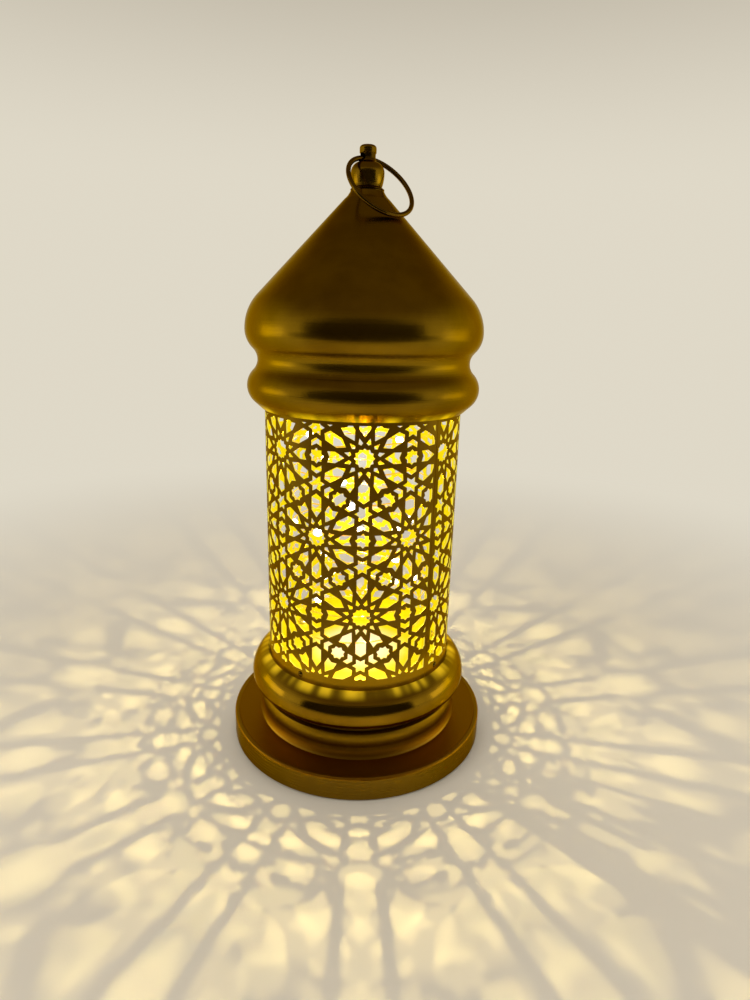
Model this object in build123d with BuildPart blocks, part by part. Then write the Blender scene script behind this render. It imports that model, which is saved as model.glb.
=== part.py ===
import os
from math import asin, atan2, ceil, cos, degrees, floor, pi, radians, sin, sqrt, tan

from build123d import *

os.makedirs("parts", exist_ok=True)

# Fits and cuts shared by all pieces
fit_clearance = 0.1
sliding_clearance = 0.3
overrun = 1.0

# Pierced cylinder: one rolled sheet, its inner end lapped under its outer end
sheet_radius = 42.86
sheet_thickness = 0.6
bottom_band = 8.3
pattern_height = 109.0
top_band = 1.5
seam_azimuth = 44.0
seam_gap = 0.4
lap_gap = 0.5
lap_cut_share = 0.85
lap_notch = 1.0
lap_length = 16.5
joggle_length = 0.9
selvage = 1.0
least_hole = 0.5

# Pattern of the piercing: a twelve-fold rosette on a triangular lattice, all shares of its pitch
pattern_pitch = 38.8
pattern_azimuth = 1.3
top_rosette_drop = 12.6
rosette_folds = 12
petal_folds = rosette_folds // 2
rosette_star_shares = (0.104, 0.0872)
edge_star_points = 8
edge_star_shares = (0.0807, 0.0617)
centre_star_points = 6
centre_star_shares = (0.0924, 0.0533)
drop_shares = ((0.137, 0), (0.156, -0.0234), (0.211, 0), (0.156, 0.0234))
petal_shares = (
    (0.216, 0), (0.294, -0.0565), (0.432, -0.0565),
    (0.471, 0), (0.432, 0.0565), (0.294, 0.0565),
)
fish_shares = (
    (0.203, 0), (0.297, -0.0586), (0.380, -0.0573),
    (0.357, 0), (0.380, 0.0573), (0.297, 0.0586),
)
chevron_shares = (
    (0.126, 0), (0.0964, -0.0573), (0.152, -0.0573),
    (0.185, 0), (0.152, 0.0573), (0.0964, 0.0573),
)

# Pedestal: spun sheet, from the foot rim up to the rolled lip and the sunk deck
foot_radius = 60.3
foot_edge_radius = 0.9
rim_lift = 0.6
flange_height = 11.0
hem_width = 1.8
hem_drop = 0.4
pedestal_wall = 1.0
cove_height = 4.6
cove_width = 1.6
cove_bow = 0.6
base_bead_height = 6.6
base_bead_bow = 0.8
recess_depth = 1.6
recess_slope = 0.7
recess_height = 2.1
torus_under_width = 6.6
torus_under_step = 0.9
torus_lower_height = 5.2
torus_upper_height = 11.0
lip_gap = 0.4
lip_roll = 0.64
lip_drop = 0.64
torus_overhang = 7.94
deck_depth = 3.7
deck_width = 7.26

# Cylinder seat: pressed pan on the deck, inside the foot of the sheet
pan_thickness = 0.8
pan_rim_height = 7.9

# Rivets through the sheet and the rim of the pan
rivet_count = 4
rivet_azimuth = -36.0
rivet_height = 6.1
rivet_radius = 0.9
rivet_head_radius = 1.4
rivet_head_height = 0.8
rivet_tail_height = 0.7

# Screws and nuts that hold the pan to the deck
seat_screw_count = 3
seat_screw_azimuth = 20.0
screw_radius = 1.5
screw_head_radius = 2.75
screw_head_height = 1.8
screw_slot_width = 0.8
screw_slot_depth = 0.8
screw_tip = 1.2
nut_across_flats = 5.5
nut_height = 2.4

# Bottom cover, its bosses, screws and pads
pad_thickness = 1.5
pad_radius = 6.0
pad_count = 4
pad_edge = 0.3
pad_inset = 8.0
cover_thickness = 4.2
boss_radius = 3.5
cover_screw_count = 3
cover_screw_depth = 3.8
head_recess_depth = 2.0

# Battery tub, door and cells
cell_count = 3
cell_radius = 7.1
cell_length = 49.2
cell_pitch = 14.7
button_radius = 2.75
button_height = 1.3
cell_play = 0.5
tub_wall = 1.6
door_thickness = 2.4
door_ledge = 2.0
hinge_pin_radius = 0.6
hinge_pin_length = 1.2
finger_notch_radius = 6.0
grip_groove_width = 1.0
grip_groove_depth = 0.5
grip_groove_pitch = 2.4
grip_groove_length = 14.0
grip_groove_count = 4

# Contacts at the ends of the cells
plate_thickness = 0.5
plate_size = 10.0
spring_radius = 2.8
spring_wire_radius = 0.3
spring_pitch = 1.2
spring_turns = 4

# Slide switch
switch_length = 15.0
switch_width = 8.0
switch_height = 6.5
switch_travel = 3.0
slider_length = 7.4
slider_width = 4.0
slider_height = 1.6
knob_length = 4.0
knob_width = 2.4
knob_reach = 0.6
knob_groove_width = 0.5
knob_groove_count = 3

# Light string: a coil of copper wire with small lamps along it
wire_radius = 0.3
coil_radius = 31.0
coil_pitch = 12.5
coil_turns = 8
coil_lift = 12.5
riser_bend = 6.5
lamp_radius = 1.5
lamp_length = 4.4
lamp_turns = (
    0.12, 0.9, 1.1, 1.9, 2.1, 2.64, 3.0, 3.85, 4.29,
    4.4, 4.58, 5.05, 5.48, 6.1, 6.9, 7.15, coil_turns,
)
arcs_per_turn = 8

# Grommet in the pan
grommet_flange = 0.9
grommet_lip = 0.8
grommet_wall = 0.9

# Dome: spun sheet, from its rim up to the flat below the finial
dome_wall = 1.0
rim_gap = 1.34
dome_bead_lower_height = 5.9
dome_rim_height = 3.3
dome_bead_overhang = 7.27
dome_bead_undercut = 2.4
dome_bead_upper_height = 6.6
dome_neck_overhang = 4.44
neck_height = 8.8
neck_bow = 1.8
shoulder_overhang = 7.67
shoulder_lower_height = 7.7
shoulder_upper_height = 14.2
shoulder_inset = 5.7
cone_height = 37.4
crown_radius = 9.3

# Ring inside the dome, which rests on the sheet and centres the dome on it
ring_flange_thickness = 1.0
skirt_thickness = 0.8
skirt_length = 16.0

# Finial, its stud, washer and nut
finial_flare_height = 3.0
finial_flare_bow = 0.2
finial_collar_radius = 6.9
finial_collar_height = 0.8
finial_groove_depth = 0.25
finial_groove_width = 0.4
finial_waist_radius = 5.85
finial_waist_height = 0.8
finial_body_radius = 6.8
finial_body_height = 5.3
finial_shoulder_height = 5.5
finial_shoulder_share = 0.68
finial_neck_radius = 3.1
finial_neck_height = 1.4
finial_cap_radius = 3.4
finial_cap_slope = 0.4
finial_cap_height = 3.2
finial_cap_edge = 1.2
stud_radius = 3.0
stud_length = 8.4
washer_radius = 7.6
washer_thickness = 1.0
finial_nut_across_flats = 10.0
finial_nut_height = 5.0

# Hanging ring through the finial
ring_wire_radius = 0.95
ring_radius = 14.35
ring_azimuth = 36.0
ring_hole_radius = 1.85
ring_hole_drop = 1.6

# Heights and radii that follow from the sizes above
flange_top = flange_height - hem_drop
bead_bottom = flange_height + cove_height
bead_top = bead_bottom + base_bead_height
recess_bottom = bead_top + recess_slope
torus_bottom = recess_bottom + recess_height + torus_under_step
torus_middle = torus_bottom + torus_lower_height
torus_top = torus_middle + torus_upper_height
deck_height = torus_top - deck_depth
pattern_bottom = deck_height + bottom_band
pattern_top = pattern_bottom + pattern_height
rim_height = pattern_top + top_band
bead_middle = rim_height + dome_rim_height + dome_bead_lower_height
neck_bottom = bead_middle + dome_bead_upper_height
neck_middle = neck_bottom + neck_height / 2
neck_top = neck_bottom + neck_height
shoulder_middle = neck_top + shoulder_lower_height
cone_bottom = shoulder_middle + shoulder_upper_height
crown_height = cone_bottom + cone_height
sheet_top = neck_middle - ring_flange_thickness / 2

sheet_inner_radius = sheet_radius - sheet_thickness
lap_outer_radius = sheet_inner_radius - lap_gap
lap_inner_radius = lap_outer_radius - sheet_thickness
lip_radius = sheet_radius + lip_gap
torus_top_radius = lip_radius + lip_roll
torus_radius = lip_radius + torus_overhang
recess_radius = torus_radius - torus_under_width
bead_root_radius = recess_radius + recess_depth
cove_foot_radius = bead_root_radius + cove_width
deck_opening_radius = lip_radius - deck_width
pan_radius = sheet_inner_radius - fit_clearance
pan_inner_radius = pan_radius - pan_thickness
rim_radius = sheet_radius + rim_gap
dome_bead_radius = sheet_radius + dome_bead_overhang
neck_root_radius = sheet_radius + dome_neck_overhang
neck_inner_radius = neck_root_radius - neck_bow - dome_wall
shoulder_radius = sheet_radius + shoulder_overhang
cone_radius = shoulder_radius - shoulder_inset
screw_hole_radius = screw_radius + fit_clearance


def around(radius, azimuth, height):
    """Point at a radius, an azimuth from the front towards the right, and a height."""
    return (radius * sin(radians(azimuth)), -radius * cos(radians(azimuth)), height)


def radial_plane(radius, azimuth, height, turn=0):
    """Plane tangent to a cylinder, facing outwards, with its x axis turned up from level."""
    level = Vector(*around(1, azimuth + 90, 0))
    x_dir = level * cos(radians(turn)) + Vector(0, 0, 1) * sin(radians(turn))
    return Plane(origin=around(radius, azimuth, height), x_dir=x_dir, z_dir=around(1, azimuth, 0))


def scaled(shares):
    """Outline of a hole of the pattern, from shares of the pitch."""
    return [(pattern_pitch * x, pattern_pitch * y) for x, y in shares]


def star(points, star_shares):
    """Outline of a star whose first point lies on the x axis."""
    outline = []
    for index in range(2 * points):
        reach = pattern_pitch * star_shares[index % 2]
        outline.append((reach * cos(pi * index / points), reach * sin(pi * index / points)))
    return outline


def coil_slope(radius, pitch):
    """Rise per length of a coil made of arcs, at the ends that its pairs of arcs share."""
    half_span = pi / arcs_per_turn
    return pitch / (2 * pi * radius) * half_span / tan(half_span)


def coil_points(radius, pitch, turns):
    """Ends and start directions of the arcs of a coil about the z axis."""
    span = 2 * pi / arcs_per_turn
    climb = pitch / (2 * pi)
    slope = coil_slope(radius, pitch)
    points = []
    for index in range(arcs_per_turn * turns + 1):
        angle = index * span
        points.append(Vector(radius * cos(angle), radius * sin(angle), climb * angle))
    starts = []
    for index in range(0, arcs_per_turn * turns, 2):
        angle = index * span
        leaving = Vector(-sin(angle), cos(angle), slope).normalized()
        chord = (points[index + 1] - points[index]).normalized()
        middle = chord * (2 * leaving.dot(chord)) - leaving
        starts += [leaving, middle]
    return points, starts


def least_turn_gap(points, wire):
    """Least gap between neighbouring turns of a wire, measured on the points of its path."""
    gaps = []
    for index, point in enumerate(points):
        gaps += [(point - other).length - 2 * wire for other in points[index + arcs_per_turn // 2:]]
    return min(gaps)


def bend_radius(depth, height):
    """Radius of an arc that leaves a vertical tangent and draws in by a depth over a height."""
    return (depth ** 2 + height ** 2) / (2 * depth)


def drawn_in(widest, middle, end, wall):
    """End of the inner face of a spun bulge: the outer end moved by the wall to the arc's centre."""
    radius = bend_radius(widest - end[0], end[1] - middle)
    centre = widest - radius
    share = (radius - wall) / radius
    return (centre + (end[0] - centre) * share, middle + (end[1] - middle) * share)


# Pedestal
flange_edge = (foot_radius - foot_edge_radius, flange_height)
hem_radius = foot_radius - hem_width
flange_under = flange_top - pedestal_wall
torus_foot = (recess_radius + torus_under_step, torus_bottom)
torus_inner_foot = drawn_in(torus_radius, torus_middle, torus_foot, pedestal_wall)
lip_top = (torus_top_radius, torus_top)
torus_inner_radius = torus_radius - pedestal_wall
crown_bend = bend_radius(torus_radius - torus_top_radius, torus_upper_height)
well_radius = lip_radius + pedestal_wall
well_reach = well_radius - torus_radius + crown_bend
well_top = torus_middle + sqrt((crown_bend - pedestal_wall) ** 2 - well_reach ** 2)
recess_inner_radius = recess_radius - pedestal_wall
screw_circle_radius = pan_inner_radius - screw_head_radius - sliding_clearance
with BuildPart() as pedestal:
    with BuildSketch(Plane.XZ):
        with BuildLine():
            rim_line = Line((foot_radius, rim_lift), (foot_radius, flange_height - foot_edge_radius))
            TangentArc(rim_line @ 1, flange_edge, tangent=(0, 1))
            flange_line = Polyline(
                flange_edge,
                (hem_radius, flange_height),
                (hem_radius - hem_drop, flange_top),
                (cove_foot_radius, flange_top),
            )
            cove = SagittaArc(flange_line @ 1, (bead_root_radius, bead_bottom), cove_bow)
            bead = SagittaArc(cove @ 1, (bead_root_radius, bead_top), -base_bead_bow)
            recess = Polyline(
                bead @ 1,
                (recess_radius, recess_bottom),
                (recess_radius, recess_bottom + recess_height),
                torus_foot,
            )
            TangentArc((torus_radius, torus_middle), recess @ 1, tangent=(0, -1))
            TangentArc((torus_radius, torus_middle), lip_top, tangent=(0, 1))
            lip = TangentArc((lip_radius, torus_top - lip_drop), lip_top, tangent=(0, 1))
            well = Polyline(
                lip @ 0,
                (lip_radius, deck_height),
                (deck_opening_radius, deck_height),
                (deck_opening_radius, deck_height - pedestal_wall),
                (well_radius, deck_height - pedestal_wall),
                (well_radius, well_top),
            )
            TangentArc((torus_inner_radius, torus_middle), well @ 1, tangent=(0, 1))
            TangentArc((torus_inner_radius, torus_middle), torus_inner_foot, tangent=(0, -1))
            Polyline(
                torus_inner_foot,
                (recess_inner_radius, torus_inner_foot[1]),
                (recess_inner_radius, flange_under),
                (foot_radius - pedestal_wall, flange_under),
                (foot_radius - pedestal_wall, rim_lift),
                rim_line @ 0,
            )
        make_face()
    revolve(axis=Axis.Z)
    with Locations((0, 0, deck_height)):
        with PolarLocations(screw_circle_radius, seat_screw_count, seat_screw_azimuth):
            Hole(screw_hole_radius, depth=pedestal_wall)
pedestal.part.label = "pedestal"
export_step(pedestal.part, "parts/pedestal.step")

# Dome
bead_foot = (dome_bead_radius - dome_bead_undercut, rim_height + dome_rim_height)
neck_foot = (neck_root_radius, neck_bottom)
neck_head = (neck_root_radius, neck_top)
cone_foot = (cone_radius, cone_bottom)
bead_inner_foot = drawn_in(dome_bead_radius, bead_middle, bead_foot, dome_wall)
neck_inner_foot = drawn_in(dome_bead_radius, bead_middle, neck_foot, dome_wall)
neck_inner_head = drawn_in(shoulder_radius, shoulder_middle, neck_head, dome_wall)
cone_inner_foot = drawn_in(shoulder_radius, shoulder_middle, cone_foot, dome_wall)
neck_inner_bow = (neck_inner_foot[0] + neck_inner_head[0]) / 2 - neck_inner_radius
cone_slope = (cone_radius - crown_radius) / cone_height
crown_inner_radius = crown_radius + dome_wall * (cone_slope - sqrt(1 + cone_slope ** 2))
stud_hole_radius = stud_radius + fit_clearance
with BuildPart() as dome:
    with BuildSketch(Plane.XZ):
        with BuildLine():
            rim = Line((rim_radius, rim_height), bead_foot)
            TangentArc((dome_bead_radius, bead_middle), rim @ 1, tangent=(0, -1))
            TangentArc((dome_bead_radius, bead_middle), neck_foot, tangent=(0, 1))
            SagittaArc(neck_foot, neck_head, neck_bow)
            TangentArc((shoulder_radius, shoulder_middle), neck_head, tangent=(0, -1))
            TangentArc((shoulder_radius, shoulder_middle), cone_foot, tangent=(0, 1))
            Polyline(
                cone_foot,
                (crown_radius, crown_height),
                (stud_hole_radius, crown_height),
                (stud_hole_radius, crown_height - dome_wall),
                (crown_inner_radius, crown_height - dome_wall),
                cone_inner_foot,
            )
            TangentArc((shoulder_radius - dome_wall, shoulder_middle), cone_inner_foot, tangent=(0, 1))
            TangentArc((shoulder_radius - dome_wall, shoulder_middle), neck_inner_head, tangent=(0, -1))
            SagittaArc(neck_inner_foot, neck_inner_head, neck_inner_bow)
            TangentArc((dome_bead_radius - dome_wall, bead_middle), neck_inner_foot, tangent=(0, 1))
            TangentArc((dome_bead_radius - dome_wall, bead_middle), bead_inner_foot, tangent=(0, -1))
            inner_rim = Vector(*bead_inner_foot) + (rim @ 0) - (rim @ 1)
            Polyline(bead_inner_foot, inner_rim, rim @ 0)
        make_face()
    revolve(axis=Axis.Z)
dome.part.label = "dome"
export_step(dome.part, "parts/dome.step")

# Pierced cylinder
seam_start = seam_azimuth - 90
seam_turn = degrees(seam_gap / sheet_radius)
joggle_turn = degrees(joggle_length / sheet_radius)
joggle_start = seam_start - joggle_turn
sheet_middle_radius = (sheet_radius + sheet_inner_radius) / 2
lap_turn = degrees(lap_length / sheet_radius)
rivet_level = deck_height + rivet_height
rivet_azimuths = [rivet_azimuth + 360 / rivet_count * index for index in range(rivet_count)]
pan_top = deck_height + pan_thickness
pan_rim_top = deck_height + pan_rim_height
skirt_bottom = sheet_top - skirt_length
lap_bottom = pan_rim_top + lap_notch
lap_top = skirt_bottom - lap_notch
row_height = pattern_pitch * sqrt(3) / 2
star_reach = pattern_pitch / sqrt(3)
pattern_start = radians(pattern_azimuth) * sheet_radius
seam_along = radians(seam_azimuth) * sheet_radius
outer_range = (seam_along - 2 * pi * sheet_radius + seam_gap + selvage, seam_along - selvage)
lap_range = (seam_along + selvage, seam_along + lap_length - selvage)
outer_band = (pattern_bottom, pattern_top)
lap_band = (lap_bottom + selvage, pattern_top)
cut_depth = overrun + sheet_thickness + lap_gap * lap_cut_share
outer_cut_radius = sheet_radius + overrun
lap_cut_radius = lap_outer_radius + lap_gap * (1 - lap_cut_share)
rivet_planes = [radial_plane(outer_cut_radius, azimuth, rivet_level) for azimuth in rivet_azimuths]

rosettes = []
row_count = ceil((pattern_height - top_rosette_drop) / row_height) + 1
first_column = floor((outer_range[0] - pattern_start) / pattern_pitch) - 1
last_column = ceil((lap_range[1] - pattern_start) / pattern_pitch) + 1
for row in range(-1, row_count):
    for column in range(first_column, last_column + 1):
        along = pattern_start + (column + row % 2 / 2) * pattern_pitch
        rosettes.append((along, pattern_top - top_rosette_drop - row * row_height))


def beside(spots, reach, turns):
    """Places at a reach from each spot, one for each turn, on the sheet laid flat."""
    places = []
    for along, height in spots:
        for turn in turns:
            swing = radians(turn)
            places.append((along + reach * cos(swing), height + reach * sin(swing), turn))
    return places


petal_turns = [360 / petal_folds * index for index in range(petal_folds)]
half_petal = 180 / petal_folds
drop_turns = [360 / rosette_folds * (index + 1 / 2) for index in range(rosette_folds)]
edge_turns = petal_turns[:petal_folds // 2]
edge_stars = beside(rosettes, pattern_pitch / 2, edge_turns)
centre_spots = beside(rosettes, star_reach, (half_petal, 3 * half_petal))
centre_stars = [(along, height, 0) for along, height, turn in centre_spots]
chevron_spots = []
for along, height, turn in edge_stars:
    chevron_spots += [(along, height, turn - 90), (along, height, turn + 90)]
hole_kinds = (
    (star(rosette_folds, rosette_star_shares), beside(rosettes, 0, [0])),
    (star(edge_star_points, edge_star_shares), edge_stars),
    (star(centre_star_points, centre_star_shares), centre_stars),
    (scaled(drop_shares), beside(rosettes, 0, drop_turns)),
    (scaled(petal_shares), beside(rosettes, 0, [turn + half_petal for turn in petal_turns])),
    (scaled(fish_shares), beside(rosettes, 0, petal_turns)),
    (scaled(chevron_shares), chevron_spots),
)


def sheet_holes(radius, sheet_range, band):
    """Planes of the holes that lie inside a stretch of sheet, and of those that its edges crop."""
    for outline, spots in hole_kinds:
        middle = (min(x for x, y in outline) + max(x for x, y in outline)) / 2
        centred = [(x - middle, y) for x, y in outline]
        whole = []
        cropped = []
        for along, height, turn in spots:
            level, rise = cos(radians(turn)), sin(radians(turn))
            centre = (along + middle * level, height + middle * rise)
            reach_along = [centre[0] + x * level - y * rise for x, y in centred]
            reach_up = [centre[1] + x * rise + y * level for x, y in centred]
            reach = (min(reach_along), max(reach_along), min(reach_up), max(reach_up))
            left, right = max(reach[0], sheet_range[0]), min(reach[1], sheet_range[1])
            bottom, top = max(reach[2], band[0]), min(reach[3], band[1])
            if right - left < least_hole or top - bottom < least_hole:
                continue
            plane = radial_plane(radius, degrees(centre[0] / sheet_radius), centre[1], turn)
            if (left, right, bottom, top) == reach:
                whole.append(plane)
                continue
            shift = (left + right) / 2 - centre[0]
            lift = (bottom + top) / 2 - centre[1]
            place = Location((shift * level + lift * rise, lift * level - shift * rise), -turn)
            cropped.append((plane, place, right - left, top - bottom))
        yield centred, whole, cropped


with BuildPart() as pierced_cylinder:
    with BuildSketch(Plane.XY.offset(deck_height)):
        with BuildLine():
            outside = CenterArc((0, 0), sheet_radius, seam_start + seam_turn, 360 - seam_turn)
            inside = CenterArc((0, 0), sheet_inner_radius, seam_start + seam_turn, 360 - seam_turn)
            Line(outside @ 0, inside @ 0)
            Line(outside @ 1, inside @ 1)
        make_face()
    extrude(amount=sheet_top - deck_height)
    with BuildSketch(Plane.XY.offset(lap_bottom)):
        with BuildLine():
            joggle = CenterArc((0, 0), sheet_middle_radius, joggle_start, joggle_turn)
            lap_outside = CenterArc((0, 0), lap_outer_radius, seam_start, lap_turn)
            lap_inside = CenterArc((0, 0), lap_inner_radius, joggle_start, joggle_turn + lap_turn)
            Line(joggle @ 1, lap_outside @ 0)
            Line(lap_outside @ 1, lap_inside @ 1)
            Line(lap_inside @ 0, joggle @ 0)
        make_face()
    extrude(amount=lap_top - lap_bottom)
    for radius, sheet_range, band in (
        (outer_cut_radius, outer_range, outer_band),
        (lap_cut_radius, lap_range, lap_band),
    ):
        for outline, whole, cropped in sheet_holes(radius, sheet_range, band):
            with BuildSketch(*whole):
                Polygon(*outline, align=None)
            for plane, place, width, height in cropped:
                with BuildSketch(plane):
                    Polygon(*outline, align=None)
                    with Locations(place):
                        Rectangle(width, height, mode=Mode.INTERSECT)
    with BuildSketch(*rivet_planes):
        Circle(rivet_radius + fit_clearance)
    extrude(amount=-cut_depth, mode=Mode.SUBTRACT, clean=False)
pierced_cylinder.part.label = "pierced_cylinder"
export_step(pierced_cylinder.part, "parts/pierced_cylinder.step", write_pcurves=False)

# Cylinder seat: pan on the deck, with its rim inside the foot of the sheet
string_slope = coil_slope(coil_radius, coil_pitch)
coil_bottom = pan_top + coil_lift
slope_angle = atan2(string_slope, 1)
riser_x = riser_bend * (1 - sin(slope_angle))
riser_top = coil_bottom - riser_bend * cos(slope_angle)
riser_spot = (riser_x, coil_radius)
grommet_bore = wire_radius + fit_clearance
grommet_radius = grommet_bore + grommet_wall
with BuildPart() as cylinder_seat:
    with BuildSketch(Plane.XY.offset(deck_height)):
        Circle(pan_radius)
    extrude(amount=pan_rim_height)
    with BuildSketch(Plane.XY.offset(pan_top)):
        Circle(pan_inner_radius)
    extrude(amount=pan_rim_height, mode=Mode.SUBTRACT)
    with Locations((0, 0, pan_top)):
        with PolarLocations(screw_circle_radius, seat_screw_count, seat_screw_azimuth):
            Hole(screw_hole_radius, depth=pan_thickness)
        with Locations(riser_spot):
            Hole(grommet_radius + fit_clearance, depth=pan_thickness)
    with BuildSketch(*rivet_planes):
        Circle(rivet_radius + fit_clearance)
    extrude(amount=-(outer_cut_radius - pan_inner_radius + overrun), mode=Mode.SUBTRACT)
cylinder_seat.part.label = "cylinder_seat"
export_step(cylinder_seat.part, "parts/cylinder_seat.step")

# Rivets: domed heads outside the sheet, flat tails inside the rim of the pan
rivet_tail_start = sqrt(pan_inner_radius ** 2 - rivet_head_radius ** 2)
with BuildPart() as seat_rivets:
    for azimuth in rivet_azimuths:
        outwards = Vector(*around(1, azimuth, 0))
        sideways = around(1, azimuth - 90, 0)
        with BuildSketch(Plane(origin=(0, 0, rivet_level), x_dir=outwards, z_dir=sideways)):
            with BuildLine():
                stem = Polyline(
                    (sheet_radius + rivet_head_height, 0),
                    (rivet_tail_start - rivet_tail_height, 0),
                    (rivet_tail_start - rivet_tail_height, rivet_head_radius),
                    (rivet_tail_start, rivet_head_radius),
                    (rivet_tail_start, rivet_radius),
                    (sheet_radius, rivet_radius),
                    (sheet_radius, rivet_head_radius),
                )
                TangentArc(stem @ 0, stem @ 1, tangent=(0, 1))
            make_face()
        revolve(axis=Axis((0, 0, rivet_level), outwards))
seat_rivets.part.label = "seat_rivets"
export_step(seat_rivets.part, "parts/seat_rivets.step")

# Screws and nuts between the pan and the deck
nut_top = deck_height - pedestal_wall
seat_screw_bottom = nut_top - nut_height - screw_tip
with BuildPart() as seat_screws:
    with BuildSketch(Plane.XY.offset(pan_top)):
        with PolarLocations(screw_circle_radius, seat_screw_count, seat_screw_azimuth):
            Circle(screw_head_radius)
    extrude(amount=screw_head_height)
    fillet(seat_screws.edges().group_by(Axis.Z)[-1], screw_head_height / 2)
    with BuildSketch(Plane.XY.offset(seat_screw_bottom)):
        with PolarLocations(screw_circle_radius, seat_screw_count, seat_screw_azimuth):
            Circle(screw_radius)
    extrude(amount=pan_top - seat_screw_bottom)
    with BuildSketch(Plane.XY.offset(pan_top + screw_head_height)):
        with PolarLocations(screw_circle_radius, seat_screw_count, seat_screw_azimuth):
            Rectangle(2 * screw_head_radius, screw_slot_width)
    extrude(amount=-screw_slot_depth, mode=Mode.SUBTRACT)
seat_screws.part.label = "seat_screws"
export_step(seat_screws.part, "parts/seat_screws.step")

with BuildPart() as seat_nuts:
    with BuildSketch(Plane.XY.offset(nut_top)):
        with PolarLocations(screw_circle_radius, seat_screw_count, seat_screw_azimuth):
            RegularPolygon(nut_across_flats / 2, 6, major_radius=False)
            Circle(screw_radius + fit_clearance, mode=Mode.SUBTRACT)
    extrude(amount=-nut_height)
seat_nuts.part.label = "seat_nuts"
export_step(seat_nuts.part, "parts/seat_nuts.step")

# Battery tub, set out from the cells
cover_top = pad_thickness + cover_thickness
recess_top = pad_thickness + door_thickness + fit_clearance
cell_height = recess_top + cell_play + cell_radius
tub_roof = recess_top + 2 * (cell_radius + cell_play)
tub_top = tub_roof + tub_wall
spring_length = spring_pitch * spring_turns + 2 * spring_wire_radius
tub_length = 2 * plate_thickness + spring_length + cell_length + button_height + fit_clearance
tub_width = cell_pitch * (cell_count - 1) + 2 * (cell_radius + cell_play)
door_length = tub_length + 2 * door_ledge
door_width = tub_width + 2 * door_ledge
hinge_y = -door_width / 2 + door_thickness / 2
hinge_height = pad_thickness + door_thickness / 2
cover_radius = foot_radius - pedestal_wall - sliding_clearance
boss_circle_radius = (cove_foot_radius + foot_radius - pedestal_wall) / 2
slot_length = knob_length + switch_travel + 2 * sliding_clearance
slot_width = knob_width + 2 * sliding_clearance
with BuildPart() as bottom_cover:
    with BuildSketch(Plane.XY.offset(pad_thickness)):
        Circle(cover_radius)
    extrude(amount=cover_thickness)
    with BuildSketch(Plane.XY.offset(cover_top)):
        Rectangle(tub_length + 2 * tub_wall, tub_width + 2 * tub_wall)
    extrude(amount=tub_top - cover_top)
    with BuildSketch(Plane.XY.offset(pad_thickness)):
        Rectangle(tub_length, tub_width)
    extrude(amount=tub_roof - pad_thickness, mode=Mode.SUBTRACT)
    with BuildSketch(Plane.XY.offset(pad_thickness)):
        Rectangle(door_length + 2 * sliding_clearance, door_width + 2 * sliding_clearance)
    extrude(amount=recess_top - pad_thickness, mode=Mode.SUBTRACT)
    with BuildSketch(Plane.XY.offset(pad_thickness)):
        with Locations((0, door_width / 2)):
            Circle(finger_notch_radius)
    extrude(amount=door_thickness / 2, mode=Mode.SUBTRACT)
    with BuildSketch(Plane.YZ):
        with Locations((hinge_y, hinge_height)):
            Circle(hinge_pin_radius + sliding_clearance / 2)
    extrude(amount=door_length / 2 + hinge_pin_length + sliding_clearance, both=True, mode=Mode.SUBTRACT)
    with BuildSketch(Plane.XY.offset(pad_thickness)):
        with Locations((0, coil_radius)):
            Rectangle(slot_length, slot_width)
        with PolarLocations(boss_circle_radius, cover_screw_count, 90):
            Circle(screw_hole_radius)
    extrude(amount=cover_thickness, mode=Mode.SUBTRACT)
    with BuildSketch(Plane.XY.offset(pad_thickness)):
        with PolarLocations(boss_circle_radius, cover_screw_count, 90):
            Circle(screw_head_radius + sliding_clearance)
    extrude(amount=head_recess_depth, mode=Mode.SUBTRACT)
bottom_cover.part.label = "bottom_cover"
export_step(bottom_cover.part, "parts/bottom_cover.step")

# Bosses under the flange, and the screws that draw the cover up to them
cover_screw_top = cover_top + cover_screw_depth - screw_tip
with BuildPart() as cover_bosses:
    with BuildSketch(Plane.XY.offset(cover_top)):
        with PolarLocations(boss_circle_radius, cover_screw_count, 90):
            Circle(boss_radius)
    extrude(amount=flange_under - cover_top)
    with BuildSketch(Plane.XY.offset(cover_top)):
        with PolarLocations(boss_circle_radius, cover_screw_count, 90):
            Circle(screw_hole_radius)
    extrude(amount=cover_screw_depth, mode=Mode.SUBTRACT)
cover_bosses.part.label = "cover_bosses"
export_step(cover_bosses.part, "parts/cover_bosses.step")

head_seat = pad_thickness + head_recess_depth
with BuildPart() as cover_screws:
    with BuildSketch(Plane.XY.offset(head_seat)):
        with PolarLocations(boss_circle_radius, cover_screw_count, 90):
            Circle(screw_head_radius)
    extrude(amount=-screw_head_height)
    fillet(cover_screws.edges().group_by(Axis.Z)[0], screw_head_height / 2)
    with BuildSketch(Plane.XY.offset(head_seat)):
        with PolarLocations(boss_circle_radius, cover_screw_count, 90):
            Circle(screw_radius)
    extrude(amount=cover_screw_top - head_seat)
    with BuildSketch(Plane.XY.offset(head_seat - screw_head_height)):
        with PolarLocations(boss_circle_radius, cover_screw_count, 90):
            Rectangle(2 * screw_head_radius, screw_slot_width)
            Rectangle(screw_slot_width, 2 * screw_head_radius)
    extrude(amount=screw_slot_depth, mode=Mode.SUBTRACT)
cover_screws.part.label = "cover_screws"
export_step(cover_screws.part, "parts/cover_screws.step")

with BuildPart() as foot_pads:
    with BuildSketch(Plane.XY):
        with PolarLocations(cover_radius - pad_inset, pad_count, 180 / pad_count):
            Circle(pad_radius)
    extrude(amount=pad_thickness)
    chamfer(foot_pads.edges().group_by(Axis.Z)[0], pad_edge)
foot_pads.part.label = "foot_pads"
export_step(foot_pads.part, "parts/foot_pads.step")

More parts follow.
